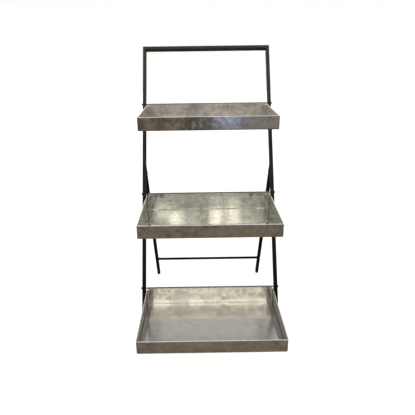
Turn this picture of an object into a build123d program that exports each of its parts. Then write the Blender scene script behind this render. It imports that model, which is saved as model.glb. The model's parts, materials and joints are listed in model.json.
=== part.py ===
from build123d import *
import os
from math import cos, radians, sin, sqrt, tan

# Three-tier folding plant stand, in millimetres and degrees.
# X runs across the stand, Y from front to back and Z up from the floor.
# Stations are measured along an upright from the floor, setbacks behind its centre line.

# Frame tube: its narrow face looks forward, its deep side runs front to back
TUBE_FACE = 12.0
TUBE_DEPTH = 22.0
TUBE_WALL = 1.2
TUBE_CORNER = 1.6
TUBE_START = 10.0

# Leaning front frame
FRAME_WIDTH = 492.0
LEAN = 26.0
TOP_STATION = 1138.5
ROD_STATIONS = {"top": 907.0, "middle": 558.0, "bottom": 209.0}
REST_BAR_DIAMETER = 9.0
REST_GAP = 0.3

# Hinge rods and their push-on caps
ROD_DIAMETER = 5.0
ROD_CLEARANCE = 0.05
ROD_GRIP = 3.0
ROD_CHAMFER = 0.4
CAP_DIAMETER = 9.0
CAP_HEIGHT = 5.0
CAP_ROUND = 3.4
CAP_ROOM = 0.2

# Rear leg frame and its hinges
SPLAY = 24.3
PIVOT_STATION = 646.5
PIVOT_SETBACK = 24.5
HEEL_GAP = 0.3
TAB_THICKNESS = 8.0
TAB_RADIUS = 8.5
TAB_ROOT = 24.0
TAB_FOOT = 2.0
SLOT_DEPTH = 15.0
RIVET_DIAMETER = 6.0
RIVET_HEAD = 11.0
RIVET_DOME = 2.6
RIVET_ROUND = 2.2
RUNG_DIAMETER = 11.0
RUNG_RISE = 108.7

# Foot plugs
PLUG_LENGTH = 14.0
PLUG_CLEARANCE = 0.05
SOLE_ROUND = 1.2

# Galvanised trays, sizes over the outside of the sheet
TRAY_WIDTH = 460.0
TRAY_DEPTH = 283.0
FRONT_WALL = 44.0
BACK_WALL = 66.5
SHEET = 1.0
BEND = 2.5
TRAY_CORNER = 1.8
HEM_HEIGHT = 8.0
HEM_ROUND = 0.7
CURL_LENGTH = 452.0
CURL_SWEEP = 310.0
NOTCH_RUN = 12.0
NOTCH_DROP = 5.0
LAP_WIDTH = 20.0
LAP_TRIM = 4.0

# Rivets through the rear corner laps of each tray
LAP_RIVET_DIAMETER = 3.2
LAP_RIVET_HEAD = 6.6
LAP_RIVET_DOME = 1.7
LAP_RIVET_ROUND = 1.4
LAP_RIVET_TAIL = 4.8
LAP_RIVET_INSET = 12.0
LAP_RIVET_DROP = 17.0

# Figures that follow from the driving dimensions
LEAN_SIN = sin(radians(LEAN))
LEAN_COS = cos(radians(LEAN))
SPLAY_SIN = sin(radians(SPLAY))
SPLAY_COS = cos(radians(SPLAY))
FRAME_OUT = FRAME_WIDTH / 2
FRAME_IN = FRAME_OUT - TUBE_FACE
FRAME_MID = FRAME_OUT - TUBE_FACE / 2
ROD_BORE = ROD_DIAMETER / 2 + ROD_CLEARANCE
RIVET_BORE = RIVET_DIAMETER / 2 + ROD_CLEARANCE
CURL_IN = ROD_BORE
CURL_OUT = CURL_IN + SHEET
TRAY_BACK = -CURL_IN
TRAY_FRONT = TRAY_BACK - TRAY_DEPTH
TRAY_BASE = CURL_OUT - BACK_WALL
FRONT_RIM = TRAY_BASE + FRONT_WALL
RIM_SLOPE = -FRONT_RIM / TRAY_DEPTH
PIVOT_HEIGHT = PIVOT_STATION * LEAN_COS - PIVOT_SETBACK * LEAN_SIN
LEG_LENGTH = PIVOT_HEIGHT / SPLAY_COS

# The stand is centred front to back between the lowest tray and the heels of the rear feet
front_reach = ROD_STATIONS["bottom"] * LEAN_SIN + TRAY_FRONT
rear_foot_y = PIVOT_STATION * LEAN_SIN + PIVOT_SETBACK * LEAN_COS + LEG_LENGTH * SPLAY_SIN
heel_trim = SOLE_ROUND / tan(radians(45 - SPLAY / 2)) - SOLE_ROUND
rear_reach = rear_foot_y + TUBE_DEPTH / 2 / SPLAY_COS - heel_trim
CENTRE_Y = -(front_reach + rear_reach) / 2


def upright_point(x, station, setback=0.0):
    """Give the point at a station along the uprights, a setback behind their centre line."""
    y = CENTRE_Y + station * LEAN_SIN + setback * LEAN_COS
    return (x, y, station * LEAN_COS - setback * LEAN_SIN)


def leg_point(x, drop):
    """Give the point a drop below the hinge along a rear leg's centre line."""
    pivot = upright_point(x, PIVOT_STATION, PIVOT_SETBACK)
    return (x, pivot[1] + drop * SPLAY_SIN, pivot[2] - drop * SPLAY_COS)


def upright_section(x, station):
    """Give the plane square to an upright: across, backwards and up along the tube."""
    return Plane(upright_point(x, station), x_dir=(1, 0, 0), z_dir=(0, LEAN_SIN, LEAN_COS))


def leg_section(x, drop):
    """Give the plane square to a rear leg: across, backwards and up along the tube."""
    return Plane(leg_point(x, drop), x_dir=(1, 0, 0), z_dir=(0, -SPLAY_SIN, SPLAY_COS))


def across(point, x_dir=(0, 1, 0)):
    """Give the plane through a point that looks along the width of the stand."""
    return Plane(point, x_dir=x_dir, z_dir=(1, 0, 0))


def rim_height(y):
    """Give the height of a tray's sloping rim, from the rod axis, at a place along its side."""
    return RIM_SLOPE * (y - TRAY_BACK)


def tube_outline():
    """Draw the hollow section of the frame tube in the open sketch."""
    RectangleRounded(TUBE_FACE, TUBE_DEPTH, TUBE_CORNER)
    RectangleRounded(
        TUBE_FACE - 2 * TUBE_WALL, TUBE_DEPTH - 2 * TUBE_WALL, TUBE_CORNER - TUBE_WALL, mode=Mode.SUBTRACT
    )


def keep(piece, label):
    """Label a finished piece and write it to its own file."""
    piece.part.label = label
    export_step(piece.part, f"parts/{label}.step")


os.makedirs("parts", exist_ok=True)

FRAME_FACE = Plane(upright_point(0, 0), x_dir=(1, 0, 0), z_dir=(0, -LEAN_COS, LEAN_SIN))
SIDES = {"left": -1, "right": 1}

# Uprights, mitred at the top and drilled for the hinge rods
for side_name, side in SIDES.items():
    with BuildPart() as upright:
        with BuildSketch(upright_section(side * FRAME_MID, TUBE_START)):
            tube_outline()
        extrude(amount=TOP_STATION - TUBE_START)
        with BuildSketch(FRAME_FACE):
            Polygon(
                (side * FRAME_IN, TOP_STATION - TUBE_FACE),
                (side * FRAME_OUT, TOP_STATION),
                (side * FRAME_OUT, TOP_STATION + TUBE_FACE),
                (side * FRAME_IN, TOP_STATION + TUBE_FACE),
                align=None,
            )
        extrude(amount=TUBE_DEPTH, both=True, mode=Mode.SUBTRACT)
        rod_holes = [across(upright_point(side * FRAME_MID, station)) for station in ROD_STATIONS.values()]
        with Locations(*rod_holes):
            Hole(ROD_BORE)
    keep(upright, f"{side_name}_upright")

# Top bar, mitred at both ends to meet the uprights
with BuildPart() as top_bar:
    bar_start = upright_point(-FRAME_OUT, TOP_STATION - TUBE_FACE / 2)
    with BuildSketch(across(bar_start, x_dir=(0, LEAN_SIN, LEAN_COS))):
        tube_outline()
    extrude(amount=FRAME_WIDTH)
    with BuildSketch(FRAME_FACE):
        for side in SIDES.values():
            Polygon(
                (side * FRAME_IN, TOP_STATION - TUBE_FACE),
                (side * FRAME_OUT, TOP_STATION),
                (side * (FRAME_OUT + TUBE_FACE), TOP_STATION),
                (side * (FRAME_OUT + TUBE_FACE), TOP_STATION - 2 * TUBE_FACE),
                (side * FRAME_IN, TOP_STATION - 2 * TUBE_FACE),
                align=None,
            )
    extrude(amount=TUBE_DEPTH, both=True, mode=Mode.SUBTRACT)
keep(top_bar, "top_bar")

# Rest bars between the uprights, one just under the floor of each tray
rest_drop = (REST_BAR_DIAMETER / 2 + REST_GAP - TRAY_BASE) / LEAN_COS
for tier, station in ROD_STATIONS.items():
    with BuildPart() as rest_bar:
        with BuildSketch(across(upright_point(-FRAME_IN, station - rest_drop))):
            Circle(REST_BAR_DIAMETER / 2)
        extrude(amount=2 * FRAME_IN)
    keep(rest_bar, f"{tier}_rest_bar")

# Hinge rods through the uprights
for tier, station in ROD_STATIONS.items():
    with BuildPart() as rod:
        with BuildSketch(across(upright_point(-FRAME_OUT - ROD_GRIP, station))):
            Circle(ROD_DIAMETER / 2)
        extrude(amount=FRAME_WIDTH + 2 * ROD_GRIP)
        chamfer(rod.edges(), ROD_CHAMFER)
    keep(rod, f"{tier}_hinge_rod")

# Domed caps pushed onto both ends of each rod
for tier, station in ROD_STATIONS.items():
    with BuildPart() as caps:
        for side in SIDES.values():
            seat = Plane(upright_point(side * FRAME_OUT, station), x_dir=(0, 1, 0), z_dir=(side, 0, 0))
            with BuildSketch(seat):
                Circle(CAP_DIAMETER / 2)
            extrude(amount=CAP_HEIGHT)
            with BuildSketch(seat):
                Circle(ROD_BORE)
            extrude(amount=ROD_GRIP + CAP_ROOM, mode=Mode.SUBTRACT)
        crowns = caps.edges().filter_by(GeomType.CIRCLE).group_by(Axis.X)
        fillet(crowns[0] + crowns[-1], CAP_ROUND)
    keep(caps, f"{tier}_rod_caps")

# Hinge tabs on the backs of the uprights
tab_reach = PIVOT_SETBACK - TUBE_DEPTH / 2
for side_name, side in SIDES.items():
    with BuildPart() as tab:
        pivot = upright_point(side * FRAME_MID - TAB_THICKNESS / 2, PIVOT_STATION, PIVOT_SETBACK)
        with BuildSketch(across(pivot, x_dir=(0, LEAN_COS, -LEAN_SIN))):
            Circle(TAB_RADIUS)
            with Locations((TAB_FOOT / 2 - tab_reach, 0)):
                Rectangle(TAB_FOOT, TAB_ROOT)
            make_hull()
            Circle(RIVET_BORE, mode=Mode.SUBTRACT)
        extrude(amount=TAB_THICKNESS)
    keep(tab, f"{side_name}_hinge_tab")

# Rear legs: the upper end is cut as a heel that stops on the upright, slotted for the hinge tab
fold = radians(LEAN + SPLAY)
nose = tab_reach - HEEL_GAP
nose_rise = sqrt(nose ** 2 - (TUBE_DEPTH / 2) ** 2)
nose_front = Vector(-TUBE_DEPTH / 2, nose_rise)
nose_flat = Vector(-nose * cos(fold), nose * sin(fold))
nose_middle = (nose_front + nose_flat).normalized() * nose
heel_run = (TUBE_DEPTH + nose * cos(fold)) / sin(fold)
heel = nose_flat + Vector(sin(fold), cos(fold)) * heel_run
for side_name, side in SIDES.items():
    x = side * FRAME_MID
    leg_side = across(leg_point(x, 0), x_dir=(0, SPLAY_COS, SPLAY_SIN))
    with BuildPart() as leg:
        with BuildSketch(leg_section(x, LEG_LENGTH - TUBE_START)):
            tube_outline()
        extrude(amount=LEG_LENGTH - TUBE_START + 2 * TUBE_DEPTH)
        with BuildSketch(leg_side):
            with BuildLine():
                Line((-TUBE_DEPTH, nose_rise), nose_front)
                ThreePointArc(nose_front, nose_middle, nose_flat)
                Polyline(
                    nose_flat,
                    heel,
                    (heel.X, 3 * TUBE_DEPTH),
                    (-TUBE_DEPTH, 3 * TUBE_DEPTH),
                    (-TUBE_DEPTH, nose_rise),
                )
            make_face()
        extrude(amount=TUBE_FACE, both=True, mode=Mode.SUBTRACT)
        with BuildSketch(leg_section(x, SLOT_DEPTH)):
            with Locations((0, -TUBE_DEPTH / 2)):
                Rectangle(TUBE_FACE - 2 * TUBE_WALL, 4 * TUBE_WALL)
        extrude(amount=SLOT_DEPTH + TUBE_DEPTH, mode=Mode.SUBTRACT)
        with Locations(across(leg_point(x, 0))):
            Hole(RIVET_BORE)
    keep(leg, f"{side_name}_rear_leg")

# Rung that ties the rear legs together
with BuildPart() as rung:
    with BuildSketch(across(leg_point(-FRAME_IN, LEG_LENGTH - RUNG_RISE))):
        Circle(RUNG_DIAMETER / 2)
    extrude(amount=2 * FRAME_IN)
keep(rung, "rear_rung")

# Domed rivets through the leg ends and the hinge tabs
for side_name, side in SIDES.items():
    with BuildPart() as rivet:
        centre = leg_point(side * FRAME_MID, 0)
        with BuildSketch(across(centre)):
            Circle(RIVET_DIAMETER / 2)
        extrude(amount=TUBE_FACE / 2, both=True)
        for end in SIDES.values():
            head_seat = (centre[0] + end * TUBE_FACE / 2, centre[1], centre[2])
            with BuildSketch(Plane(head_seat, z_dir=(end, 0, 0))):
                Circle(RIVET_HEAD / 2)
            extrude(amount=RIVET_DOME)
        crowns = rivet.edges().filter_by(GeomType.CIRCLE).group_by(Axis.X)
        fillet(crowns[0] + crowns[-1], RIVET_ROUND)
    keep(rivet, f"{side_name}_hinge_rivet")

# Foot plugs: a stem inside the tube and a sole cut level with the floor
for side_name, side in SIDES.items():
    x = side * FRAME_MID
    ends = {"front": upright_section(x, TUBE_START), "rear": leg_section(x, LEG_LENGTH - TUBE_START)}
    for end_name, end in ends.items():
        with BuildPart() as foot:
            with BuildSketch(end):
                RectangleRounded(TUBE_FACE, TUBE_DEPTH, TUBE_CORNER)
            extrude(amount=-2 * TUBE_DEPTH)
            with BuildSketch(end):
                stem = 2 * (TUBE_WALL + PLUG_CLEARANCE)
                RectangleRounded(TUBE_FACE - stem, TUBE_DEPTH - stem, TUBE_CORNER - TUBE_WALL)
            extrude(amount=PLUG_LENGTH)
            split(bisect_by=Plane.XY, keep=Keep.TOP)
            fillet(foot.edges().group_by(Axis.Z)[0], SOLE_ROUND)
        keep(foot, f"{side_name}_{end_name}_foot")

# Trays: each is one folded sheet whose back wall is curled round its hinge rod
for tier, station in ROD_STATIONS.items():
    rod_axis = upright_point(0, station)
    profile = across(rod_axis)
    with BuildPart() as tray:
        with BuildSketch(profile):
            Polygon(
                (TRAY_BACK, TRAY_BASE),
                (TRAY_BACK, 0),
                (TRAY_FRONT, FRONT_RIM),
                (TRAY_FRONT, TRAY_BASE),
                align=None,
            )
        extrude(amount=TRAY_WIDTH / 2, both=True)
        fillet(tray.edges().filter_by(Axis.Z), TRAY_CORNER)
        fillet(tray.faces().sort_by(Axis.Z)[0].edges(), BEND)
        offset(amount=-SHEET, openings=tray.faces().sort_by(Axis.Z)[-1])
        # Hems folded inside the front and side rims
        hem_front = TRAY_FRONT + SHEET
        hem_back = TRAY_FRONT + 2 * SHEET
        with BuildSketch(profile):
            Polygon(
                (hem_front, rim_height(hem_front)),
                (hem_front, FRONT_RIM - HEM_HEIGHT),
                (hem_back, FRONT_RIM - HEM_HEIGHT),
                (hem_back, rim_height(hem_back)),
                align=None,
            )
        extrude(amount=TRAY_WIDTH / 2 - SHEET, both=True)
        notch_start = TRAY_BACK - NOTCH_RUN
        for side in SIDES.values():
            with BuildSketch(across((side * (TRAY_WIDTH / 2 - 1.5 * SHEET), *rod_axis[1:]))):
                Polygon(
                    (hem_front, rim_height(hem_front)),
                    (hem_front, rim_height(hem_front) - HEM_HEIGHT),
                    (notch_start, rim_height(notch_start) - HEM_HEIGHT),
                    (notch_start, rim_height(notch_start)),
                    align=None,
                )
            extrude(amount=SHEET / 2, both=True)
        # Laps folded from the side walls, behind the front wall and over the back wall
        lap_edge = TRAY_WIDTH / 2 - LAP_WIDTH
        lap_side = TRAY_WIDTH / 2 - SHEET / 2
        lap_foot = TRAY_BASE + LAP_TRIM
        back_face = (0, rod_axis[1] + TRAY_BACK - SHEET, rod_axis[2])
        with BuildSketch(Plane(back_face, x_dir=(1, 0, 0), z_dir=(0, -1, 0))):
            for side in SIDES.values():
                Polygon(
                    (side * lap_side, lap_foot),
                    (side * (lap_edge + LAP_TRIM), lap_foot),
                    (side * lap_edge, lap_foot + LAP_TRIM),
                    (side * lap_edge, -NOTCH_DROP - LAP_TRIM),
                    (side * (lap_edge + LAP_TRIM), -NOTCH_DROP),
                    (side * lap_side, -NOTCH_DROP),
                    align=None,
                )
        extrude(amount=SHEET)
        front_face = (0, rod_axis[1] + TRAY_FRONT + SHEET, rod_axis[2])
        with BuildSketch(Plane(front_face, x_dir=(1, 0, 0), z_dir=(0, -1, 0))):
            for side in SIDES.values():
                Polygon(
                    (side * lap_side, lap_foot),
                    (side * (lap_edge + LAP_TRIM), lap_foot),
                    (side * lap_edge, lap_foot + LAP_TRIM),
                    (side * lap_edge, FRONT_RIM - HEM_HEIGHT + SHEET),
                    (side * lap_side, FRONT_RIM - HEM_HEIGHT + SHEET),
                    align=None,
                )
        extrude(amount=-SHEET)
        # Relief notches at the rear corners, clear of the curl
        for side in SIDES.values():
            with BuildSketch(across((side * (TRAY_WIDTH / 2), *rod_axis[1:]))):
                Polygon(
                    (notch_start, rim_height(notch_start)),
                    (TRAY_BACK - SHEET, -NOTCH_DROP),
                    (CURL_OUT, -NOTCH_DROP),
                    (CURL_OUT, CURL_OUT),
                    (notch_start, CURL_OUT),
                    align=None,
                )
            extrude(amount=(TRAY_WIDTH - CURL_LENGTH) / 2, both=True, mode=Mode.SUBTRACT)
        # Curl rolled backwards round the rod
        with BuildSketch(profile):
            with BuildLine():
                outer = CenterArc((0, 0), CURL_OUT, 180, -CURL_SWEEP)
                inner = CenterArc((0, 0), CURL_IN, 180, -CURL_SWEEP)
                Line(outer @ 1, inner @ 1)
                Polyline(outer @ 0, (-CURL_OUT, -HEM_HEIGHT), (-CURL_IN, -HEM_HEIGHT), inner @ 0)
            make_face()
        extrude(amount=CURL_LENGTH / 2, both=True)
        # Rounded crest of the hemmed rim, which slopes down towards the front
        flats = tray.faces().filter_by(GeomType.PLANE)
        crest = flats.filter_by(lambda face: RIM_SLOPE / 2 < -face.normal_at().Y < face.normal_at().Z)
        fillet(crest.edges().filter_by(lambda edge: edge.length > 2 * SHEET), HEM_ROUND)
        # Holes for the lap rivets
        rivet_x = TRAY_WIDTH / 2 - LAP_RIVET_INSET
        rivet_y = rod_axis[1] + TRAY_BACK
        rivet_z = rod_axis[2] - LAP_RIVET_DROP
        lap_rivets = [
            Plane((side * rivet_x, rivet_y, rivet_z), x_dir=(1, 0, 0), z_dir=(0, 1, 0))
            for side in SIDES.values()
        ]
        with Locations(*lap_rivets):
            Hole(LAP_RIVET_DIAMETER / 2 + ROD_CLEARANCE, depth=3 * SHEET)
    keep(tray, f"{tier}_tray")

    # Domed rivets that close the rear corners, heads inside the tray
    with BuildPart() as rivets:
        for place in lap_rivets:
            with BuildSketch(place):
                Circle(LAP_RIVET_DIAMETER / 2)
            extrude(amount=-2 * SHEET)
            with BuildSketch(place):
                Circle(LAP_RIVET_TAIL / 2)
            extrude(amount=SHEET)
            with BuildSketch(place.offset(-2 * SHEET)):
                Circle(LAP_RIVET_HEAD / 2)
            extrude(amount=-LAP_RIVET_DOME)
        crowns = rivets.edges().filter_by(GeomType.CIRCLE).group_by(Axis.Y)
        fillet(crowns[0], LAP_RIVET_ROUND)
        fillet(crowns[-1], SHEET / 2)
    keep(rivets, f"{tier}_tray_rivets")
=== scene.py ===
"""Looks of the folding plant stand: three galvanised sheet trays on a leaning, satin-painted steel frame."""

import json
import logging
from dataclasses import dataclass, field
from enum import Enum
from math import cos, pi, radians, sin
from typing import Any, Iterable, Sequence

import bmesh
import bpy
from mathutils import Matrix, Vector, noise

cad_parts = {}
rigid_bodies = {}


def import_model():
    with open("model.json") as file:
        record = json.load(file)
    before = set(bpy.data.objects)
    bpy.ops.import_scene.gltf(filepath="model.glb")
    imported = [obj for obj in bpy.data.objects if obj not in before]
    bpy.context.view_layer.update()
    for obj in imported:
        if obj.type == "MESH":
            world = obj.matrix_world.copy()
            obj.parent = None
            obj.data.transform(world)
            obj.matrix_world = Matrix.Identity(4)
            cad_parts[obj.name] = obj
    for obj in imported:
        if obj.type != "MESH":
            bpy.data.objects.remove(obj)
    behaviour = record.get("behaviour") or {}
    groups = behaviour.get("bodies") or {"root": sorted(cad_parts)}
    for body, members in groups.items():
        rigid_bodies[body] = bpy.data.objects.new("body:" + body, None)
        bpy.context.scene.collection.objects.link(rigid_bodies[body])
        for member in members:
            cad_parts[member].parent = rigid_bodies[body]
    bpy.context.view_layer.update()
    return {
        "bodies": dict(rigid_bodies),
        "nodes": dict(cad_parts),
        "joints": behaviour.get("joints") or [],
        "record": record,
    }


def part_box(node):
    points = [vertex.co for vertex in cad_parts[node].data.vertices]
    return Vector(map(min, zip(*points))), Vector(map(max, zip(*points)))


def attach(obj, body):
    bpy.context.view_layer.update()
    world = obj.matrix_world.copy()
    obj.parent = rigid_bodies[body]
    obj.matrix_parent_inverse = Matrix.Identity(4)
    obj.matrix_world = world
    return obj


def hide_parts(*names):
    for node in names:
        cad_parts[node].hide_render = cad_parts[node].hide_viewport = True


log = logging.getLogger("plant_stand")

Colour = tuple[float, float, float, float]
Operand = Any


class Tier(Enum):
    """The three shelves, by the names that their pieces start with."""

    TOP = "top"
    MIDDLE = "middle"
    BOTTOM = "bottom"


def smooth(value: float) -> float:
    """A soft step from 0 to 1 as value goes from 0 to 1."""
    held = min(1.0, max(0.0, value))
    return held * held * (3.0 - 2.0 * held)


def spread(low: float, high: float, steps: int) -> list[float]:
    """Evenly spaced numbers.

    Args:
        low: The first number.
        high: The last number.
        steps: How many gaps lie between them.

    Returns:
        The steps + 1 numbers.
    """
    return [low + (high - low) * index / steps for index in range(steps + 1)]


class Value:
    """A number in a shader tree that Python's operators can work on."""

    def __init__(self, nodes: "Nodes", socket: bpy.types.NodeSocket) -> None:
        """Keeps the tree and the socket that gives the number."""
        self.nodes = nodes
        self.socket = socket

    def worked(self, operation: str, first: Operand, second: Operand, clamp: bool = False) -> "Value":
        """Adds one Math node.

        Args:
            operation: The node's operation.
            first: The upper operand.
            second: The lower operand.
            clamp: Whether the result is held between 0 and 1.

        Returns:
            The result.
        """
        settings = {"operation": operation, "use_clamp": clamp}
        node = self.nodes.node("ShaderNodeMath", settings, {0: first, 1: second})
        return Value(self.nodes, node.outputs[0])

    def __add__(self, other: Operand) -> "Value":
        """self + other."""
        return self.worked("ADD", self, other)

    def __radd__(self, other: Operand) -> "Value":
        """other + self."""
        return self.worked("ADD", other, self)

    def __sub__(self, other: Operand) -> "Value":
        """self - other."""
        return self.worked("SUBTRACT", self, other)

    def __rsub__(self, other: Operand) -> "Value":
        """other - self."""
        return self.worked("SUBTRACT", other, self)

    def __mul__(self, other: Operand) -> "Value":
        """self * other."""
        return self.worked("MULTIPLY", self, other)

    def __rmul__(self, other: Operand) -> "Value":
        """other * self."""
        return self.worked("MULTIPLY", other, self)

    def __truediv__(self, other: Operand) -> "Value":
        """self / other."""
        return self.worked("DIVIDE", self, other)

    def __pow__(self, other: Operand) -> "Value":
        """self to the power of other."""
        return self.worked("POWER", self, other)

    def held(self) -> "Value":
        """The number held between 0 and 1."""
        return self.worked("ADD", self, 0.0, clamp=True)

    def between(self, low: float, high: float) -> "Value":
        """How far the number is from low to high, held between 0 and 1."""
        return ((self - low) / (high - low)).held()


class Nodes:
    """A shader tree under construction."""

    def __init__(self, tree: bpy.types.NodeTree) -> None:
        """Keeps the tree."""
        self.tree = tree

    def node(self, kind: str, settings: dict[str, Any] | None = None,
             sockets: dict[Any, Operand] | None = None) -> bpy.types.Node:
        """Adds one node.

        Args:
            kind: The node's type.
            settings: Its properties, set first.
            sockets: What each input gets, by name or number: a link or a plain value.

        Returns:
            The new node.
        """
        made = self.tree.nodes.new(kind)
        for name, setting in (settings or {}).items():
            setattr(made, name, setting)
        for key, given in (sockets or {}).items():
            self.feed(made.inputs[key], given)
        return made

    def feed(self, socket: bpy.types.NodeSocket, given: Operand) -> None:
        """Links a value to a socket or sets a plain one on it.

        Args:
            socket: The input.
            given: A Value, an output socket, or a plain number, colour or vector.
        """
        if isinstance(given, Value):
            self.tree.links.new(given.socket, socket)
        elif isinstance(given, bpy.types.NodeSocket):
            self.tree.links.new(given, socket)
        else:
            socket.default_value = given

    def mix(self, share: Operand, first: Operand, second: Operand) -> bpy.types.NodeSocket:
        """The colour that lies share of the way from first to second."""
        return self.node("ShaderNodeMix", {"data_type": "RGBA"}, {0: share, 6: first, 7: second}).outputs[2]

    def vector(self, operation: str, first: Operand, second: Operand) -> bpy.types.Node:
        """Adds one Vector Math node."""
        return self.node("ShaderNodeVectorMath", {"operation": operation}, {0: first, 1: second})

    def along(self, place: bpy.types.NodeSocket, axis: str) -> Value:
        """One coordinate of a place, by the axis' letter."""
        return Value(self, self.node("ShaderNodeSeparateXYZ", sockets={0: place}).outputs[axis])


class Paint(Nodes):
    """A material under construction: its node tree and its main shader."""

    def __init__(self, name: str) -> None:
        """Starts a material with one Principled shader."""
        self.material = bpy.data.materials.new(name)
        self.material.use_nodes = True
        super().__init__(self.material.node_tree)
        self.shader = self.tree.nodes["Principled BSDF"]

    def place(self, shift: Sequence[float] = (0.0, 0.0, 0.0)) -> bpy.types.NodeSocket:
        """Object coordinates, moved along by shift."""
        source = self.node("ShaderNodeTexCoord").outputs["Object"]
        return self.vector("ADD", source, shift).outputs[0]

    def cloud(self, place: bpy.types.NodeSocket, scale: float, detail: float = 2.0, rough: float = 0.5,
              swirl: float = 0.0) -> Value:
        """Soft noise.

        Args:
            place: Where it is read.
            scale: Features per metre.
            detail: Finer layers.
            rough: How strong the finer layers are.
            swirl: How far the pattern is stirred.

        Returns:
            A number around 0.5.
        """
        sockets = {"Vector": place, "Scale": scale, "Detail": detail, "Roughness": rough, "Distortion": swirl}
        return Value(self, self.node("ShaderNodeTexNoise", sockets=sockets).outputs[0])

    def crystals(self, place: bpy.types.NodeSocket, scale: float) -> Value:
        """A random tone for each cell of a crystal pattern.

        Args:
            place: Where it is read.
            scale: Cells per metre.

        Returns:
            A number from 0 to 1, one for each cell.
        """
        cells = self.node("ShaderNodeTexVoronoi", {"feature": "F1"}, {"Vector": place, "Scale": scale})
        parts = self.node("ShaderNodeSeparateColor", sockets={0: cells.outputs["Color"]})
        return Value(self, parts.outputs[0])

    def painted(self, name: str) -> Value:
        """A number that the mesh carries at its points."""
        return Value(self, self.node("ShaderNodeAttribute", {"attribute_name": name}).outputs["Fac"])

    def nearness(self, centre: Sequence[float], reach: float) -> Value:
        """1 at a point of the object, falling to 0 at reach metres from it."""
        away = Value(self, self.vector("DISTANCE", self.place(), centre).outputs["Value"])
        return (1.0 - away / reach).held()

    def grain(self, height: Value, depth: float, strength: float) -> None:
        """Raises a fine grain on the surface.

        Args:
            height: The grain, from 0 to 1.
            depth: Its depth in metres.
            strength: How much of it shows.
        """
        sockets = {"Height": height, "Distance": depth, "Strength": strength}
        self.set("Normal", self.node("ShaderNodeBump", sockets=sockets).outputs[0])

    def set(self, socket: str, given: Operand) -> None:
        """Gives one of the main shader's sockets its value or link."""
        self.feed(self.shader.inputs[socket], given)


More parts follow.
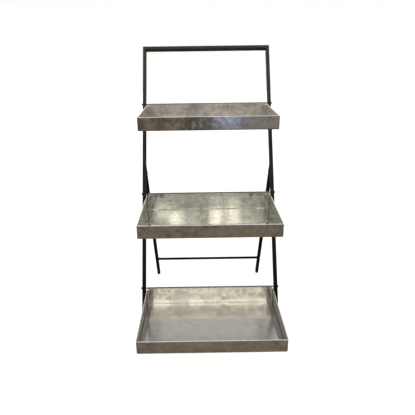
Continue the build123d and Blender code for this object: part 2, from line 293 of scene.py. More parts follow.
@dataclass(frozen=True)
class GalvanisedSheet:
    """Weathered zinc: pale and shiny inside the tray, brown and blotchy outside; its rims are painted
    near-white as wear plus a painted highlight, its back fold carries a painted highlight, and its curl,
    laps, inner side walls and floor margins are painted darker as shade.
    """

    name: str
    seed: Sequence[float]
    outer_contrast: float
    wall_contrast: float
    floor_contrast: float
    # Strengths of the painted shade on the inner side walls, laps and curl, and of the painted dark
    # reflection in the floor margins.
    flank_shade: float = 0.0
    margin_dark_reflection: float = 0.0
    margin: float = 0.020
    lap_shade: float = 0.25
    curl_shade: float = 0.85
    clean_side: float = 0.0
    # Strength of the painted highlight along the fold at the foot of the back wall.
    crease_painted_highlight: float = 0.0
    crease_reach: float = 0.008
    rust_spots: tuple[tuple[float, float, float, float], ...] = ()
    inner_dark: Colour = (0.410, 0.407, 0.370, 1.0)
    inner_light: Colour = (0.735, 0.733, 0.692, 1.0)
    outer_dark: Colour = (0.280, 0.260, 0.232, 1.0)
    outer_light: Colour = (0.600, 0.580, 0.545, 1.0)
    warm: Colour = (0.400, 0.335, 0.260, 1.0)
    rust: Colour = (0.260, 0.130, 0.060, 1.0)
    wear_and_highlight: Colour = (0.940, 0.930, 0.905, 1.0)
    # The colour that the painted shade and the painted dark reflection mix towards.
    shade_tone: Colour = (0.130, 0.122, 0.110, 1.0)
    crystals_per_metre: float = 120.0
    stain_per_metre: float = 16.0
    grain_per_metre: float = 700.0
    streak_stretch: float = 0.10
    ripple_depth: float = 0.00006
    ripple_strength: float = 0.5
    least_rough: float = 0.12
    rough_range: float = 0.10
    outer_rough: float = 0.10
    floor_rough: float = 0.0
    inner_metallic: float = 0.88
    outer_metallic: float = 0.95

    def material(self, half: float, back: float, floor: float) -> bpy.types.Material:
        """Builds the material.

        Args:
            half: Half the tray's width.
            back: The depth of the fold between floor and back wall.
            floor: The height of the floor.

        Returns:
            The finished material.
        """
        paint = Paint(self.name)
        place = paint.place(self.seed)
        inner = paint.painted("inner")
        rise = paint.painted("rise")
        coarse = paint.crystals(place, self.crystals_per_metre)
        stain = paint.cloud(place, self.stain_per_metre, 4.0, 0.6, 1.2)
        mottle = paint.cloud(place, 2.6 * self.stain_per_metre, 2.5, 0.55, 0.6)
        ripple = paint.cloud(place, 2.0 * self.stain_per_metre, 1.0, 0.5, 0.4)
        grain = paint.cloud(place, self.grain_per_metre, 1.0)
        streak_place = paint.vector("MULTIPLY", place, (self.streak_stretch, 1.0, 1.0)).outputs[0]
        streak = paint.cloud(streak_place, 5.0 * self.stain_per_metre, 1.0, 0.5)
        # Each pattern has its weight, and half their sum brings the blotches round zero.
        blotch = 0.10 * coarse + 0.80 * mottle + 0.50 * stain + 0.05 * grain + 0.25 * streak - 0.85
        wall = rise.between(0.03, 0.15)
        inner_contrast = self.floor_contrast + (self.wall_contrast - self.floor_contrast) * wall
        clean = self.clean_side * paint.along(paint.place(), "X").between(-0.04, 0.12)
        contrast = self.outer_contrast * (1.0 - inner) * (1.0 - clean) + inner_contrast * inner
        tone = (0.5 + contrast * blotch).held()
        outside = paint.mix(tone, self.outer_dark, self.outer_light)
        grime = (0.35 + 0.45 * (1.0 - rise)) * stain.between(0.35, 0.65)
        outside = paint.mix(grime, outside, self.warm)
        inside = paint.mix(tone, self.inner_dark, self.inner_light)
        # Painted highlight: the fold at the foot of the back wall is painted bright, standing in for the
        # highlight it catches.
        crease = self.crease(paint, back, floor)
        patchy = 0.35 + 0.65 * stain.between(0.35, 0.60)
        inside = paint.mix(self.crease_painted_highlight * crease * patchy, inside, self.wear_and_highlight)
        colour = paint.mix(inner, outside, inside)
        # Painted shade: the inner side walls, the curl and the laps are painted darker towards the shade
        # tone.
        painted_shade = self.flank_shade * paint.painted("flank") + self.curl_shade * paint.painted("curl")
        painted_shade = painted_shade + self.lap_shade * paint.painted("lap")
        # Painted reflection: the floor margins beside the side walls are painted darker, standing in for the
        # side walls' dark reflection.
        painted_shade = painted_shade + self.margin_dark_reflection * self.beside(paint, half) * inner * (1.0 - wall)
        colour = paint.mix(painted_shade, colour, self.shade_tone)
        # Painted highlight: the hemmed rim crests are painted near-white, partly wear and partly a painted
        # highlight for the bright line the rims catch.
        edge = paint.painted("edge")
        colour = paint.mix(edge * (0.7 + 0.3 * stain.between(0.35, 0.50)), colour, self.wear_and_highlight)
        for x, y, z, reach in self.rust_spots:
            spot = paint.nearness((x, y, z), reach) * mottle.between(0.35, 0.6)
            colour = paint.mix(0.75 * spot, colour, self.rust)
        paint.set("Base Color", colour)
        gloss_lost = self.outer_rough * (1.0 - inner) + self.floor_rough * inner * (1.0 - wall)
        paint.set("Roughness", self.least_rough + self.rough_range * mottle + gloss_lost)
        paint.set("Metallic", self.outer_metallic + (self.inner_metallic - self.outer_metallic) * inner)
        paint.grain(ripple, self.ripple_depth, self.ripple_strength)
        return paint.material

    def beside(self, paint: Paint, half: float) -> Value:
        """1 in the floor's margins along the side walls, 0 between them, for a tray of that half width."""
        across = paint.along(paint.place(), "X")
        return ((across * across) ** 0.5).between(half - self.margin, half - 0.8 * self.margin)

    def crease(self, paint: Paint, back: float, floor: float) -> Value:
        """How near a point is to the fold at the foot of the back wall.

        Args:
            paint: The material under construction.
            back: The fold's depth.
            floor: The fold's height.

        Returns:
            1 at the fold, falling to 0 at the crease's reach.
        """
        place = paint.place()
        behind = paint.along(place, "Y") - back
        above = paint.along(place, "Z") - floor
        away = (behind * behind + above * above) ** 0.5
        return (2.0 - 2.0 * away / self.crease_reach).held()


@dataclass(frozen=True)
class SatinPaint:
    """Brown-black powder coat with a fine orange peel, painted paler towards the top as light from above and
    darker lower down as shade towards the floor.
    """

    name: str
    dark: Colour = (0.0066, 0.0058, 0.0053, 1.0)
    lit_tone: Colour = (0.0650, 0.0566, 0.0507, 1.0)
    lit_from: float = 0.18
    lit_to: float = 0.98
    peel_per_metre: float = 650.0
    peel_depth: float = 0.00008
    peel_strength: float = 0.30
    patch_per_metre: float = 16.0
    least_rough: float = 0.50
    shine: float = 0.08

    def material(self) -> bpy.types.Material:
        """Builds the material.

        Returns:
            The finished material.
        """
        paint = Paint(self.name)
        place = paint.place()
        peel = paint.cloud(place, self.peel_per_metre, 2.0)
        patch = paint.cloud(place, self.patch_per_metre, 4.0, 0.65)
        # Painted light and shade: the coat is painted paler with height, standing in for light from above.
        lit_share = paint.along(place, "Z").between(self.lit_from, self.lit_to)
        uneven = 0.75 + 0.35 * patch.between(0.35, 0.65) + 0.15 * peel
        paint.set("Base Color", paint.mix((lit_share * uneven).held(), self.dark, self.lit_tone))
        paint.set("Roughness", self.least_rough + 0.10 * patch + 0.06 * peel)
        paint.set("Specular IOR Level", self.shine)
        paint.grain(peel, self.peel_depth, self.peel_strength)
        return paint.material


@dataclass(frozen=True)
class PlainMetal:
    """Bare or plated metal of the small pieces, a little uneven in tone."""

    name: str
    dark: Colour
    light: Colour
    least_rough: float
    metallic: float
    scuffs_per_metre: float = 420.0
    scuff_depth: float = 0.00005
    scuff_strength: float = 0.2

    def material(self) -> bpy.types.Material:
        """Builds the material.

        Returns:
            The finished material.
        """
        paint = Paint(self.name)
        scuff = paint.cloud(paint.place(), self.scuffs_per_metre, 3.0, 0.6)
        paint.set("Base Color", paint.mix(scuff.between(0.3, 0.7), self.dark, self.light))
        paint.set("Roughness", self.least_rough + 0.2 * scuff)
        paint.set("Metallic", self.metallic)
        paint.grain(scuff, self.scuff_depth, self.scuff_strength)
        return paint.material


@dataclass(frozen=True)
class FootRubber:
    """Dull black rubber, dusty towards the floor."""

    name: str = "foot_rubber"
    black: Colour = (0.0090, 0.0085, 0.0082, 1.0)
    dusty: Colour = (0.0500, 0.0460, 0.0420, 1.0)
    dust_height: float = 0.012
    least_rough: float = 0.62
    specks_per_metre: float = 700.0
    speck_depth: float = 0.0001
    speck_strength: float = 0.35

    def material(self) -> bpy.types.Material:
        """Builds the material.

        Returns:
            The finished material.
        """
        paint = Paint(self.name)
        place = paint.place()
        speck = paint.cloud(place, self.specks_per_metre, 3.0, 0.6)
        low = 1.0 - paint.along(place, "Z") / self.dust_height
        dust = low.held() * speck.between(0.4, 0.7)
        paint.set("Base Color", paint.mix(dust, self.black, self.dusty))
        paint.set("Roughness", self.least_rough + 0.25 * speck)
        paint.grain(speck, self.speck_depth, self.speck_strength)
        return paint.material


def finished(name: str, mesh: bpy.types.Mesh, material: bpy.types.Material) -> bpy.types.Object:
    """Puts a mesh into the scene as an object at the origin.

    Args:
        name: The piece's name.
        mesh: Its mesh, in place.
        material: Its finish.

    Returns:
        The new object.
    """
    mesh.materials.clear()
    mesh.materials.append(material)
    piece = bpy.data.objects.new(name, mesh)
    bpy.context.scene.collection.objects.link(piece)
    return piece


def dress(frame: dict[str, Any], material: bpy.types.Material, names: Iterable[str]) -> None:
    """Gives solid pieces of the frame a finish.

    Args:
        frame: The loaded frame.
        material: The finish.
        names: The pieces that take it.
    """
    for name in names:
        piece = frame["nodes"][name]
        if not piece.material_slots:
            piece.data.materials.append(material)
        for held in piece.material_slots:
            held.material = material


class WeldTree:
    """A Geometry Nodes tree that lays a rippled weld bead along the edges of a mesh."""

    least_ripple = (0.85, 0.85, 0.70)
    most_ripple = (1.10, 1.10, 0.95)

    def __init__(self) -> None:
        """Builds the tree with its named inputs."""
        self.tree = bpy.data.node_groups.new("weld_bead", "GeometryNodeTree")
        face = self.tree.interface
        face.new_socket("Path", in_out="INPUT", socket_type="NodeSocketGeometry")
        self.inputs = {
            name: face.new_socket(name, in_out="INPUT", socket_type=kind)
            for name, kind in (
                ("Bead Radius", "NodeSocketFloat"),
                ("Ripple Pitch", "NodeSocketFloat"),
                ("Seed", "NodeSocketInt"),
                ("Finish", "NodeSocketMaterial"),
            )
        }
        face.new_socket("Bead", in_out="OUTPUT", socket_type="NodeSocketGeometry")
        self._join_up()

    def _add(self, kind: str, **settings: Any) -> bpy.types.Node:
        """Adds a node with its settings."""
        made = self.tree.nodes.new(kind)
        for name, setting in settings.items():
            setattr(made, name, setting)
        return made

    def _join_up(self) -> None:
        """Adds the nodes: path, ripples along it, and one plain mesh at the end."""
        link = self.tree.links.new
        given = self._add("NodeGroupInput").outputs
        curve = self._add("GeometryNodeMeshToCurve")
        points = self._add("GeometryNodeResampleCurve", mode="LENGTH")
        ripple = self._add("GeometryNodeMeshIcoSphere")
        ripple.inputs["Radius"].default_value = 1.0
        ripple.inputs["Subdivisions"].default_value = 2
        size = self._add("FunctionNodeRandomValue", data_type="FLOAT_VECTOR")
        size.inputs["Min"].default_value = self.least_ripple
        size.inputs["Max"].default_value = self.most_ripple
        sized = self._add("ShaderNodeVectorMath", operation="SCALE")
        tangent = self._add("GeometryNodeInputTangent")
        turn = self._add("FunctionNodeAlignRotationToVector", axis="Z")
        laid = self._add("GeometryNodeInstanceOnPoints")
        smooth_shade = self._add("GeometryNodeSetShadeSmooth")
        real = self._add("GeometryNodeRealizeInstances")
        finish = self._add("GeometryNodeSetMaterial")
        out = self._add("NodeGroupOutput").inputs
        link(given["Path"], curve.inputs["Mesh"])
        link(curve.outputs["Curve"], points.inputs["Curve"])
        link(given["Ripple Pitch"], points.inputs["Length"])
        link(given["Seed"], size.inputs["Seed"])
        link(size.outputs[0], sized.inputs[0])
        link(given["Bead Radius"], sized.inputs["Scale"])
        link(tangent.outputs[0], turn.inputs["Vector"])
        link(points.outputs["Curve"], laid.inputs["Points"])
        link(ripple.outputs["Mesh"], laid.inputs["Instance"])
        link(turn.outputs[0], laid.inputs["Rotation"])
        link(sized.outputs[0], laid.inputs["Scale"])
        link(laid.outputs[0], smooth_shade.inputs[0])
        link(smooth_shade.outputs[0], real.inputs[0])
        link(real.outputs[0], finish.inputs["Geometry"])
        link(given["Finish"], finish.inputs["Material"])
        link(finish.outputs[0], out["Bead"])

    def lay(self, name: str, rings: Sequence["Ring"], material: bpy.types.Material,
            radius: float, pitch: float, seed: int) -> bpy.types.Object:
        """Welds along rings and keeps the result as a plain mesh.

        Args:
            name: The piece's name.
            rings: Where the beads go.
            material: Their finish.
            radius: Half the width of a bead, in metres.
            pitch: The distance from ripple to ripple, in metres.
            seed: The seed of the unevenness.

        Returns:
            The beads as one object.
        """
        path = bpy.data.meshes.new(name + "_path")
        points = [point for ring in rings for point in ring.points()]
        edges = [edge for number, ring in enumerate(rings) for edge in ring.edges(number)]
        path.from_pydata(points, edges, [])
        carrier = bpy.data.objects.new(name + "_path", path)
        bpy.context.scene.collection.objects.link(carrier)
        modifier = carrier.modifiers.new("weld", "NODES")
        modifier.node_group = self.tree
        wanted = {"Bead Radius": radius, "Ripple Pitch": pitch, "Seed": seed, "Finish": material}
        for label, setting in wanted.items():
            modifier[self.inputs[label].identifier] = setting
        depsgraph = bpy.context.evaluated_depsgraph_get()
        mesh = bpy.data.meshes.new_from_object(carrier.evaluated_get(depsgraph))
        carrier.modifiers.remove(modifier)
        bpy.data.objects.remove(carrier)
        return finished(name, mesh, material)


@dataclass(frozen=True)
class Ring:
    """A circle round a bar, square to the X axis, that a weld follows."""

    centre: Vector
    radius: float
    count: int = 28

    def points(self) -> list[Vector]:
        """The circle's points."""
        turns = [2.0 * pi * index / self.count for index in range(self.count)]
        return [self.centre + self.radius * Vector((0.0, cos(turn), sin(turn))) for turn in turns]

    def edges(self, number: int) -> list[tuple[int, int]]:
        """The circle's edges, for the ring that comes at that number in a mesh of equal rings."""
        first = number * self.count
        return [(first + index, first + (index + 1) % self.count) for index in range(self.count)]


@dataclass(frozen=True)
class RimPoint:
    """A point of a tray's outline: its place, the way inwards, and what the sheet does above it."""

    x: float
    y: float
    inward: tuple[float, float]
    top: float
    hemmed: bool
    crest: float
    column: int
    row: int


@dataclass
class Tray:
    """One folded sheet tray. Heights and depths are measured from its hinge rod."""

    tier: Tier
    finish: GalvanisedSheet
    sheet: float = 0.001
    bend: float = 0.0025
    fold: float = 0.0035
    corner: float = 0.0038
    hold: float = 0.0005
    slip: float = 0.0001
    seam: float = 0.00001
    lip: float = 0.0003
    crest: float = 0.00095
    raw_crest: float = 0.00045
    hem: float = 0.008
    curl_in: float = 0.00255
    curl_half: float = 0.226
    curl_sweep: float = radians(310.0)
    curl_steps: int = 40
    curl_lines: int = 8
    notch_length: float = 0.012
    notch_drop: float = 0.005
    front_wall: float = 0.044
    lap_width: float = 0.020
    lap_trim: float = 0.004
    lap_clearance: float = 0.0012
    lap_share: float = 0.9
    sway: float = 0.00045
    wall_sway: float = 0.00012
    sway_reach: float = 0.05
    floor_waves: float = 6.0
    wall_waves: float = 7.0
    sharp_from: float = radians(32.0)
    columns: int = 44
    rows: int = 28
    # Points of section(): the first point of the crest painted bright (wear plus painted highlight), the
    # outside's last, and the last point of that bright crest.
    crest_start: int = 12
    crest_middle: int = 14
    crest_end: int = 21

    def __post_init__(self) -> None:
        """Takes the tray's place from its solid."""
        low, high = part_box(self.node)
        self.curl_out = self.curl_in + self.sheet
        self.rod = Vector((0.0, high[1] - self.curl_out, high[2] - self.curl_out))
        self.half = high[0]
        self.front = low[1] - self.rod.y
        self.back = -self.curl_in
        self.base = low[2] - self.rod.z
        self.front_rim = self.base + self.front_wall
        self.slope = -self.front_rim / (self.back - self.front)

    @property
    def node(self) -> str:
        """The name of the tray's solid."""
        return f"{self.tier.value}_tray"

    def rim(self, y: float) -> float:
        """The height of a side wall's rim at depth y."""
        return self.front_rim + self.slope * (y - self.front)

    def columns_at(self) -> list[float]:
        """The floor grid's positions across the tray, with a pair where the curl ends."""
        edge = self.half - self.corner
        inner = spread(-self.curl_half, self.curl_half, self.columns)
        return [-edge, -self.curl_half - self.slip] + inner + [self.curl_half + self.slip, edge]

    def rows_at(self) -> list[float]:
        """The floor grid's positions from front to back, paired at the front and where the notch starts."""
        start = self.front + self.corner
        notch = self.back - self.notch_length
        ahead = [start] + spread(start + self.hold, notch, self.rows)
        return ahead + spread(notch + self.slip, self.back - self.corner, 4)

    def outline(self) -> list[RimPoint]:
        """The tray's outline, anticlockwise from the front left.

        Returns:
            The points, each with its floor grid corner.
        """
        xs, ys = self.columns_at(), self.rows_at()
        last_x, last_y = len(xs) - 1, len(ys) - 1
        low_corner = (self.front_rim, True, self.crest)
        high_corner = (-self.notch_drop, False, self.raw_crest)
        loop = [RimPoint(x, self.front, (0.0, 1.0), *low_corner, i, 0) for i, x in enumerate(xs)]
        loop += self.bend_round(1, -1, low_corner, last_x, 0)
        loop += [RimPoint(self.half, y, (-1.0, 0.0), *self.side_edge(y), last_x, j) for j, y in enumerate(ys)]
        loop += self.bend_round(1, 1, high_corner, last_x, last_y)
        for i, x in reversed(list(enumerate(xs))):
            edge = high_corner if abs(x) > self.curl_half else (0.0, False, self.seam)
            loop.append(RimPoint(x, self.back, (0.0, -1.0), *edge, i, last_y))
        loop += self.bend_round(-1, 1, high_corner, 0, last_y)
        for j, y in reversed(list(enumerate(ys))):
            loop.append(RimPoint(-self.half, y, (1.0, 0.0), *self.side_edge(y), 0, j))
        loop += self.bend_round(-1, -1, low_corner, 0, 0)
        return loop

    def side_edge(self, y: float) -> tuple[float, bool, float]:
        """The height, hem and crest rounding of a side wall's edge at depth y."""
        notch = self.back - self.notch_length
        if y <= notch:
            return self.rim(y), True, self.crest
        share = (y - notch) / self.notch_length
        return self.rim(notch) + (-self.notch_drop - self.rim(notch)) * smooth(share), False, self.raw_crest

    def bend_round(self, side: int, end: int, edge: tuple[float, bool, float],
                   column: int, row: int) -> list[RimPoint]:
        """The outline round one vertical corner.

        Args:
            side: 1 at the right, -1 at the left.
            end: 1 at the back, -1 at the front.
            edge: The height, hem and crest rounding there.
            column: The floor grid column that the corner runs to.
            row: The floor grid row that the corner runs to.

        Returns:
            The points between the corner's two straight sides.
        """
        start = {(1, -1): -90.0, (1, 1): 0.0, (-1, 1): 90.0, (-1, -1): 180.0}[side, end]
        middle_x = side * (self.half - self.corner)
        middle_y = (self.back - self.corner) if end > 0 else (self.front + self.corner)
        points = []
        for step in (22.5, 45.0, 67.5):
            across, along = cos(radians(start + step)), sin(radians(start + step))
            x, y = middle_x + self.corner * across, middle_y + self.corner * along
            points.append(RimPoint(x, y, (-across, -along), *edge, column, row))
        return points

    def section(self, point: RimPoint) -> list[tuple[float, float]]:
        """The sheet's section at one point of the outline.

        Args:
            point: The point.

        Returns:
            Steps inwards and heights, from the floor's underside over the rim to the floor.
        """
        thick = 2.0 * self.sheet if point.hemmed else self.sheet
        springs = self.base + self.bend
        crest = point.crest
        shoulder = point.top - crest
        lower = point.top - self.hem
        ledge = lower if point.hemmed else lower + 0.5 * self.lip
        inside = self.fold - self.sheet
        settles = self.base + self.fold
        quarter = [pi / 2.0 * step / 4 for step in range(5)]
        path = [(self.bend * (1.0 - sin(turn)), springs - self.bend * cos(turn)) for turn in quarter]
        path += [(0.0, height) for height in spread(springs + self.hold, shoulder - self.hold, 5)]
        path += [(crest * (1.0 - cos(turn)), shoulder + crest * sin(turn)) for turn in quarter]
        path += [(thick - crest * (1.0 - sin(turn)), shoulder + crest * cos(turn)) for turn in quarter]
        path += [(thick, shoulder - self.hold), (thick, lower + self.lip)]
        path += [(0.5 * (thick + self.sheet), ledge), (self.sheet, lower)]
        path += [(self.sheet, height) for height in spread(lower, settles + self.hold, 5)[1:]]
        path += [(self.fold - inside * cos(turn), settles - inside * sin(turn)) for turn in quarter]
        return path

    def floor_sway(self, x: float, y: float) -> float:
        """How far the sheet's floor bows up or down at a point."""
        edge = min(self.half - abs(x), y - self.front, (self.back - y) * 0.6)
        layer = 7.0 * len(self.tier.value)
        wave = noise.noise(Vector((x * self.floor_waves, y * self.floor_waves, layer)))
        return self.sway * smooth(edge / self.sway_reach) * wave

    def wall_bow(self, point: RimPoint, height: float) -> float:
        """How far a wall bows inwards at a point and height."""
        run = self.half - abs(point.x) if abs(point.inward[1]) == 1.0 else 0.0
        if abs(point.inward[0]) == 1.0:
            run = min(point.y - self.front, (self.back - point.y) * 0.5)
        rise = (height - self.base) / (point.top - self.base)
        layer = self.rod.z + height * 3.0
        wave = noise.noise(Vector((point.x * self.wall_waves, point.y * self.wall_waves, layer)))
        return self.wall_sway * smooth(run / self.sway_reach) * sin(pi * min(1.0, max(0.0, rise))) * wave

    def fold_sheet(self, work: bmesh.types.BMesh) -> None:
        """Adds the folded sheet: floor, bends, walls and hems as one closed skin.

        Args:
            work: The mesh under construction.
        """
        xs, ys = self.columns_at(), self.rows_at()
        loop = self.outline()
        layers = work.verts.layers.float
        strips = []
        for point in loop:
            strip = []
            path = self.section(point)
            for number, (step, height) in enumerate(path):
                inside = step + self.wall_bow(point, height)
                x, y = point.x + point.inward[0] * inside, point.y + point.inward[1] * inside
                vertex = work.verts.new(self.rod + Vector((x, y, height)))
                inside_wall = number > self.crest_middle
                # Hemmed crest points get the edge mark, which paints them near-white: wear plus a painted
                # highlight.
                wear_and_highlight = point.hemmed and self.crest_start <= number <= self.crest_end
                vertex[layers["inner"]] = 1.0 if inside_wall else 0.0
                vertex[layers["rise"]] = (height - self.base) / (point.top - self.base)
                vertex[layers["edge"]] = 1.0 if wear_and_highlight else 0.0
                # The inner side walls are marked for painted shade.
                vertex[layers["flank"]] = 1.0 if inside_wall and abs(point.inward[0]) == 1.0 else 0.0
                strip.append(vertex)
            strips.append(strip)
        for here, there in zip(strips, strips[1:] + strips[:1]):
            for row in range(len(here) - 1):
                work.faces.new((here[row], there[row], there[row + 1], here[row + 1]))
        for level, end in ((self.base, 0), (self.base + self.sheet, -1)):
            grid = [[work.verts.new(self.rod + Vector((x, y, level + self.floor_sway(x, y)))) for y in ys]
                    for x in xs]
            for vertex in (vertex for line in grid for vertex in line):
                vertex[layers["inner"]] = 0.0 if end == 0 else 1.0
            for column in range(len(xs) - 1):
                for row in range(len(ys) - 1):
                    work.faces.new((grid[column][row], grid[column + 1][row],
                                    grid[column + 1][row + 1], grid[column][row + 1]))
            for index, point in enumerate(loop):
                after = loop[(index + 1) % len(loop)]
                ring = (strips[index][end], strips[(index + 1) % len(loop)][end])
                inner = (grid[after.column][after.row], grid[point.column][point.row])
                corners = ring + (inner if inner[0] is not inner[1] else inner[:1])
                work.faces.new(corners)

    def roll_curl(self, work: bmesh.types.BMesh) -> None:
        """Adds the rolled edge round the hinge rod.

        Args:
            work: The mesh under construction.
        """
        turns = spread(pi, pi - self.curl_sweep, self.curl_steps)
        inside = [(self.curl_in * cos(turn), self.curl_in * sin(turn)) for turn in turns]
        outside = [(self.curl_out * cos(turn), self.curl_out * sin(turn)) for turn in turns]
        shape = inside + outside[::-1]
        lines = []
        for x in spread(-self.curl_half, self.curl_half, self.curl_lines):
            lines.append([work.verts.new(self.rod + Vector((x, y, z))) for y, z in shape])
        # The curl is marked for painted shade.
        curl_layer = work.verts.layers.float["curl"]
        for vertex in (vertex for line in lines for vertex in line):
            vertex[curl_layer] = 1.0
        for here, there in zip(lines, lines[1:]):
            for index in range(len(shape)):
                after = (index + 1) % len(shape)
                work.faces.new((here[index], here[after], there[after], there[index]))
        for line in (lines[0], lines[-1]):
            outer = line[::-1]
            for index in range(self.curl_steps):
                work.faces.new((line[index], line[index + 1], outer[index + 1], outer[index]))

    def add_laps(self, work: bmesh.types.BMesh) -> None:
        """Adds the four laps that the side walls turn in behind the front and back walls.

        Args:
            work: The mesh under construction.
        """
        foot = self.base + self.bend
        layers = work.verts.layers.float
        for side in (-1, 1):
            start = self.half - self.corner
            end = self.half - self.sheet - self.lap_width
            for y, way, top in (
                (self.front + self.sheet, 1.0, self.front_rim - self.hem - self.lap_clearance),
                (self.back - self.sheet, -1.0, -self.notch_drop - self.lap_clearance),
            ):
                shape = [(start, foot), (end + self.lap_trim, foot), (end, foot + self.lap_trim),
                         (end, top - self.lap_trim), (end + self.lap_trim, top), (start, top)]
                near = [work.verts.new(self.rod + Vector((side * x, y, z))) for x, z in shape]
                off = y + way * self.lap_share * self.sheet
                far = [work.verts.new(self.rod + Vector((side * x, off, z))) for x, z in shape]
                # The laps are marked for painted shade.
                for vertex in near + far:
                    vertex[layers["inner"]] = 1.0
                    vertex[layers["lap"]] = 1.0
                    vertex[layers["rise"]] = (vertex.co.z - self.rod.z - self.base) / (top - self.base)
                work.faces.new(near)
                work.faces.new(far[::-1])
                for index in range(len(shape)):
                    after = (index + 1) % len(shape)
                    work.faces.new((near[index], far[index], far[after], near[after]))

    def build(self) -> bpy.types.Object:
        """Builds the tray and puts it in its solid's place.

        Returns:
            The tray.
        """
        work = bmesh.new()
        for name in ("inner", "rise", "edge", "flank", "lap", "curl"):
            work.verts.layers.float.new(name)
        self.fold_sheet(work)
        self.roll_curl(work)
        self.add_laps(work)
        bmesh.ops.recalc_face_normals(work, faces=work.faces)
        mesh = bpy.data.meshes.new(self.node + "_sheet")
        work.to_mesh(mesh)
        work.free()
        mesh.shade_smooth()
        mesh.set_sharp_from_angle(angle=self.sharp_from)
        material = self.finish.material(self.half, self.rod.y + self.back, self.rod.z + self.base)
        piece = finished(self.node + "_sheet", mesh, material)
        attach(piece, f"{self.tier.value}_shelf")
        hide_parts(self.node)
        return piece


@dataclass
class Frame:
    """The painted front and rear frames with their small pieces."""

    frame: dict[str, Any]
    front_paint: bpy.types.Material
    rear_paint: bpy.types.Material
    bead_radius: float = 0.0016
    bead_pitch: float = 0.0017
    bead_gap: float = 0.0004

    def dress_solids(self) -> None:
        """Gives every solid of both frames its finish."""
        sides = ("left", "right")
        front = [f"{side}_{piece}" for side in sides for piece in ("upright", "hinge_tab")]
        dress(self.frame, self.front_paint, front + ["top_bar"] + [f"{tier.value}_rest_bar" for tier in Tier])
        dress(self.frame, self.rear_paint, [f"{side}_rear_leg" for side in sides] + ["rear_rung"])
        rod = PlainMetal("rod_steel", (0.050, 0.046, 0.042, 1.0), (0.110, 0.102, 0.094, 1.0), 0.30, 0.8)
        pins = [f"{tier.value}_hinge_rod" for tier in Tier] + [f"{side}_hinge_rivet" for side in sides]
        dress(self.frame, rod.material(), pins)
        cap = PlainMetal("cap_finish", (0.012, 0.011, 0.010, 1.0), (0.030, 0.027, 0.025, 1.0), 0.28, 0.3)
        dress(self.frame, cap.material(), [f"{tier.value}_rod_caps" for tier in Tier])
        zinc = PlainMetal("rivet_zinc", (0.220, 0.210, 0.195, 1.0), (0.420, 0.405, 0.380, 1.0), 0.28, 0.9)
        dress(self.frame, zinc.material(), [f"{tier.value}_tray_rivets" for tier in Tier])
        feet = [f"{side}_{piece}" for side in sides for piece in ("front_foot", "rear_foot")]
        dress(self.frame, FootRubber().material(), feet)

    def bar_ends(self, bar: str) -> list[Ring]:
        """Rings round both ends of a round bar.

        Args:
            bar: The bar's name.

        Returns:
            One ring at each end.
        """
        low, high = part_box(bar)
        middle = (Vector(low) + Vector(high)) / 2.0
        radius = (high[2] - low[2]) / 2.0
        return [Ring(Vector((x, middle.y, middle.z)), radius + self.bead_gap) for x in (low[0], high[0])]

    def weld(self, tree: WeldTree) -> list[bpy.types.Object]:
        """Lays the weld beads of both frames.

        Args:
            tree: The bead maker.

        Returns:
            One piece of beads for each frame.
        """
        front = [ring for tier in Tier for ring in self.bar_ends(f"{tier.value}_rest_bar")]
        rear = self.bar_ends("rear_rung")
        pieces = []
        for body, rings, coat, seed in (
            ("front_frame", front, self.front_paint, 3),
            ("rear_frame", rear, self.rear_paint, 5),
        ):
            beads = tree.lay(f"{body}_welds", rings, coat, self.bead_radius, self.bead_pitch, seed)
            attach(beads, body)
            pieces.append(beads)
        return pieces


@dataclass(frozen=True)
class Window:
    """A soft bright patch of the room, seen from the stand."""

    turn: float
    rise: float
    core: float
    reach: float
    colour: Colour

    def towards(self) -> tuple[float, float, float]:
        """The way to the patch: turn degrees to the right of straight ahead, and rise degrees above level."""
        flat = cos(radians(self.rise))
        return flat * sin(radians(self.turn)), -flat * cos(radians(self.turn)), sin(radians(self.rise))


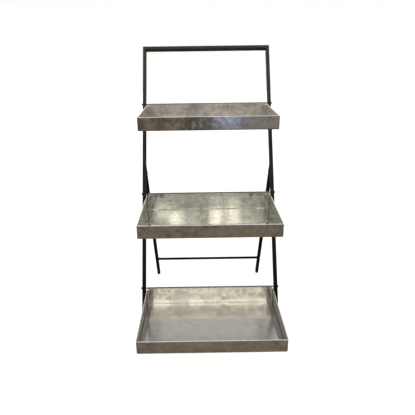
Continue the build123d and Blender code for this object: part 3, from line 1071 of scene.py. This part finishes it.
@dataclass
class Studio:
    """A pale floor, soft lights and the photograph's camera."""

    floor_size: float = 40.0
    white: Colour = (1.0, 1.0, 1.0, 1.0)
    floor_glow: float = 0.93
    floor_rough: float = 0.9
    floor_shine: float = 0.1
    floor_tone: Colour = (0.334, 0.298, 0.266, 1.0)
    room_top: Colour = (1.20, 1.188, 1.152, 1.0)
    room_zenith: Colour = (1.00, 0.986, 0.955, 1.0)
    room_back: Colour = (0.665, 0.645, 0.622, 1.0)
    room_rim: Colour = (2.40, 2.36, 2.30, 1.0)
    room_front: Colour = (3.90, 3.72, 3.22, 1.0)
    room_high: Colour = (0.16, 0.155, 0.142, 1.0)
    room_low: Colour = (0.74, 0.73, 0.66, 1.0)
    room_dark: Colour = (0.14, 0.12, 0.105, 1.0)
    room_side: Colour = (0.30, 0.29, 0.27, 1.0)
    windows: tuple[Window, ...] = (
        Window(-5.9, 19.2, 0.30, 1.2, (3.4, 3.3, 2.95, 1.0)),
        Window(2.2, 19.1, 0.40, 1.2, (3.6, 3.5, 3.1, 1.0)),
        Window(4.6, 19.0, 0.40, 1.3, (4.2, 4.1, 3.65, 1.0)),
        Window(-1.4, 20.7, 0.30, 1.1, (2.6, 2.5, 2.25, 1.0)),
        Window(7.3, 20.8, 0.30, 1.1, (2.8, 2.7, 2.40, 1.0)),
        Window(-3.8, 20.3, 0.40, 1.3, (5.4, 5.2, 4.6, 1.0)),
        Window(2.2, 20.4, 0.35, 1.1, (5.4, 5.2, 4.6, 1.0)),
        Window(5.0, 20.9, 0.35, 1.1, (4.8, 4.6, 4.1, 1.0)),
    )
    eye: Vector = field(default_factory=lambda: Vector((-0.0260, -1.3890, 0.9302)))
    pitch: float = radians(19.383)
    yaw: float = radians(0.188)
    roll: float = radians(-0.754)
    sensor: float = 36.0
    focal_share: float = 400.0 / 415.0
    middle: tuple[float, float] = (202.946 / 415.0, 212.993 / 415.0)

    def floor(self) -> None:
        """Lays a pale floor that the camera sees nearly white and the metal sees as a darker ground."""
        paint = Paint("floor_card")
        paint.set("Base Color", self.floor_tone)
        paint.set("Roughness", self.floor_rough)
        paint.set("Specular IOR Level", self.floor_shine)
        glow = paint.node("ShaderNodeEmission", sockets={"Color": self.white, "Strength": self.floor_glow})
        seen = paint.node("ShaderNodeAddShader", sockets={0: glow.outputs[0], 1: paint.shader.outputs[0]})
        direct = paint.node("ShaderNodeLightPath").outputs["Is Camera Ray"]
        sockets = {0: direct, 1: paint.shader.outputs[0], 2: seen.outputs[0]}
        shown = paint.node("ShaderNodeMixShader", sockets=sockets)
        paint.feed(paint.tree.nodes["Material Output"].inputs["Surface"], shown.outputs[0])
        half = self.floor_size / 2.0
        mesh = bpy.data.meshes.new("floor")
        corners = [(-half, -half, 0.0), (half, -half, 0.0), (half, half, 0.0), (-half, half, 0.0)]
        mesh.from_pydata(corners, [], [(0, 1, 2, 3)])
        finished("floor", mesh, paint.material)

    def room(self) -> None:
        """Surrounds the stand with a plain white backdrop and a soft room for the metal to reflect."""
        world = bpy.data.worlds.new("studio")
        bpy.context.scene.world = world
        world.use_nodes = True
        nodes = Nodes(world.node_tree)
        way = nodes.node("ShaderNodeTexCoord").outputs["Generated"]
        back = nodes.along(way, "Y").between(-0.35, 0.35)
        # Heights in the room are sines of the angle above level.
        up = nodes.along(way, "Z")
        aside = nodes.along(way, "X")
        beside = (aside * aside).between(0.12, 0.45)
        low = nodes.mix(up.between(0.0, 0.14), self.room_dark, self.room_low)
        front = nodes.mix(up.between(0.44, 0.49), low, self.room_front)
        front = nodes.mix(up.between(0.522, 0.536), front, self.room_high)
        front = nodes.mix(up.between(0.62, 0.70), front, self.room_top)
        behind = nodes.mix(up.between(0.15, 0.45), self.room_rim, self.room_back)
        around = nodes.mix(back, front, behind)
        around = nodes.mix(beside, around, self.room_side)
        around = nodes.mix(up.between(0.70, 0.85), around, self.room_top)
        around = nodes.mix(up.between(0.90, 0.96), around, self.room_zenith)
        for window in self.windows:
            facing = Value(nodes, nodes.vector("DOT_PRODUCT", way, window.towards()).outputs["Value"])
            glow = facing.between(cos(radians(window.reach)), cos(radians(window.core)))
            around = nodes.mix(glow, around, window.colour)
        direct = nodes.node("ShaderNodeLightPath").outputs["Is Camera Ray"]
        nodes.feed(world.node_tree.nodes["Background"].inputs["Color"], nodes.mix(direct, around, self.white))

    def light(self, name: str, at: Sequence[float], aim: Sequence[float], size: tuple[float, float],
              power: float, colour: Sequence[float]) -> None:
        """Hangs one soft box.

        Args:
            name: The lamp's name.
            at: Where it hangs.
            aim: The point that it faces.
            size: Its width and height.
            power: Its power in watts.
            colour: Its colour.
        """
        lamp = bpy.data.lights.new(name, "AREA")
        lamp.shape = "RECTANGLE"
        lamp.size, lamp.size_y = size
        lamp.energy = power
        lamp.color = colour
        stand = bpy.data.objects.new(name, lamp)
        stand.location = at
        stand.rotation_euler = (Vector(aim) - Vector(at)).to_track_quat("-Z", "Y").to_euler()
        stand.visible_camera = False
        bpy.context.scene.collection.objects.link(stand)

    def lights(self) -> None:
        """Hangs the overhead lamp and two faint cool ones low in front."""
        self.light("low_box", (0.31, -3.5, 0.50), (0.0, 0.0, 0.70), (0.12, 0.24), 0.75, (0.43, 0.61, 1.0))
        self.light("low_fill", (1.05, -3.5, 0.40), (0.0, 0.0, 0.70), (0.90, 0.35), 0.36, (0.75, 0.86, 1.0))
        self.light("top_box", (-0.4, -0.2, 3.2), (0.0, 0.0, 0.45), (2.4, 2.4), 6.0, (1.0, 0.98, 0.95))

    def camera(self) -> None:
        """Sets the camera at the photograph's place and angle."""
        ahead = Vector((sin(self.yaw) * cos(self.pitch), cos(self.yaw) * cos(self.pitch), -sin(self.pitch)))
        level = Vector((cos(self.yaw), -sin(self.yaw), 0.0))
        above = level.cross(ahead)
        right = cos(self.roll) * level + sin(self.roll) * above
        up = cos(self.roll) * above - sin(self.roll) * level
        lens = bpy.data.cameras.new("camera")
        lens.sensor_width = self.sensor
        lens.lens = self.focal_share * self.sensor
        lens.shift_x = 0.5 - self.middle[0]
        lens.shift_y = self.middle[1] - 0.5
        lens.clip_end = 100.0
        eye = bpy.data.objects.new("camera", lens)
        turn = Matrix((right, up, -ahead)).transposed()
        eye.matrix_world = Matrix.Translation(self.eye) @ turn.to_4x4()
        bpy.context.scene.collection.objects.link(eye)
        bpy.context.scene.camera = eye

    def build(self) -> None:
        """Sets up the whole studio."""
        self.floor()
        self.room()
        self.lights()
        self.camera()
        bpy.context.scene.view_settings.view_transform = "Standard"


def main() -> None:
    """Dresses the frame, builds the trays and the studio, and notes both sizes."""
    logging.basicConfig(level=logging.INFO, format="%(name)s: %(message)s")
    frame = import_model()
    front_paint = SatinPaint("front_paint")
    # The rear frame takes a shaded copy of the coat: its painted light starts higher, so it is painted darker
    # as shade.
    rear_paint = SatinPaint("rear_paint", lit_from=0.30, lit_to=1.40)
    stand = Frame(frame, front_paint.material(), rear_paint.material())
    stand.dress_solids()
    for piece in stand.weld(WeldTree()):
        log.info("%s: %d faces", piece.name, len(piece.data.polygons))
    # The three trays are one sheet metal; the top and bottom trays' light and dark tones are set paler or
    # darker than the middle's as painted light, standing in for how each tray is lit.
    finishes = {
        Tier.TOP: GalvanisedSheet(
            "galvanised_top", (0.0, 0.0, 0.0), 5.8, 3.2, 2.2, clean_side=0.7, outer_rough=0.01,
            inner_metallic=0.65, rust_spots=((-0.224, -0.079, 0.756, 0.030),),
            outer_dark=(0.216, 0.196, 0.168, 1.0), outer_light=(0.500, 0.472, 0.430, 1.0),
            inner_dark=(0.517, 0.496, 0.458, 1.0), inner_light=(0.855, 0.832, 0.794, 1.0)),
        Tier.MIDDLE: GalvanisedSheet(
            "galvanised_middle", (3.1, 1.7, 0.4), 2.6, 1.6, 1.3, crease_painted_highlight=0.2,
            least_rough=0.050, rough_range=0.05),
        Tier.BOTTOM: GalvanisedSheet(
            "galvanised_bottom", (5.3, 2.9, 1.1), 2.6, 2.8, 0.6, flank_shade=0.45, margin_dark_reflection=0.40,
            lap_shade=0.5, crease_painted_highlight=0.75, crease_reach=0.022, least_rough=0.085, rough_range=0.07,
            floor_rough=0.08,
            rust_spots=((-0.220, -0.385, 0.130, 0.022),),
            inner_dark=(0.437, 0.423, 0.392, 1.0), inner_light=(0.788, 0.774, 0.740, 1.0),
            outer_dark=(0.345, 0.318, 0.287, 1.0), outer_light=(0.690, 0.663, 0.627, 1.0)),
    }
    for tier, finish in finishes.items():
        piece = Tray(tier, finish).build()
        log.info("%s: %d faces", piece.name, len(piece.data.polygons))
    Studio().build()


if __name__ == "__main__":
    main()
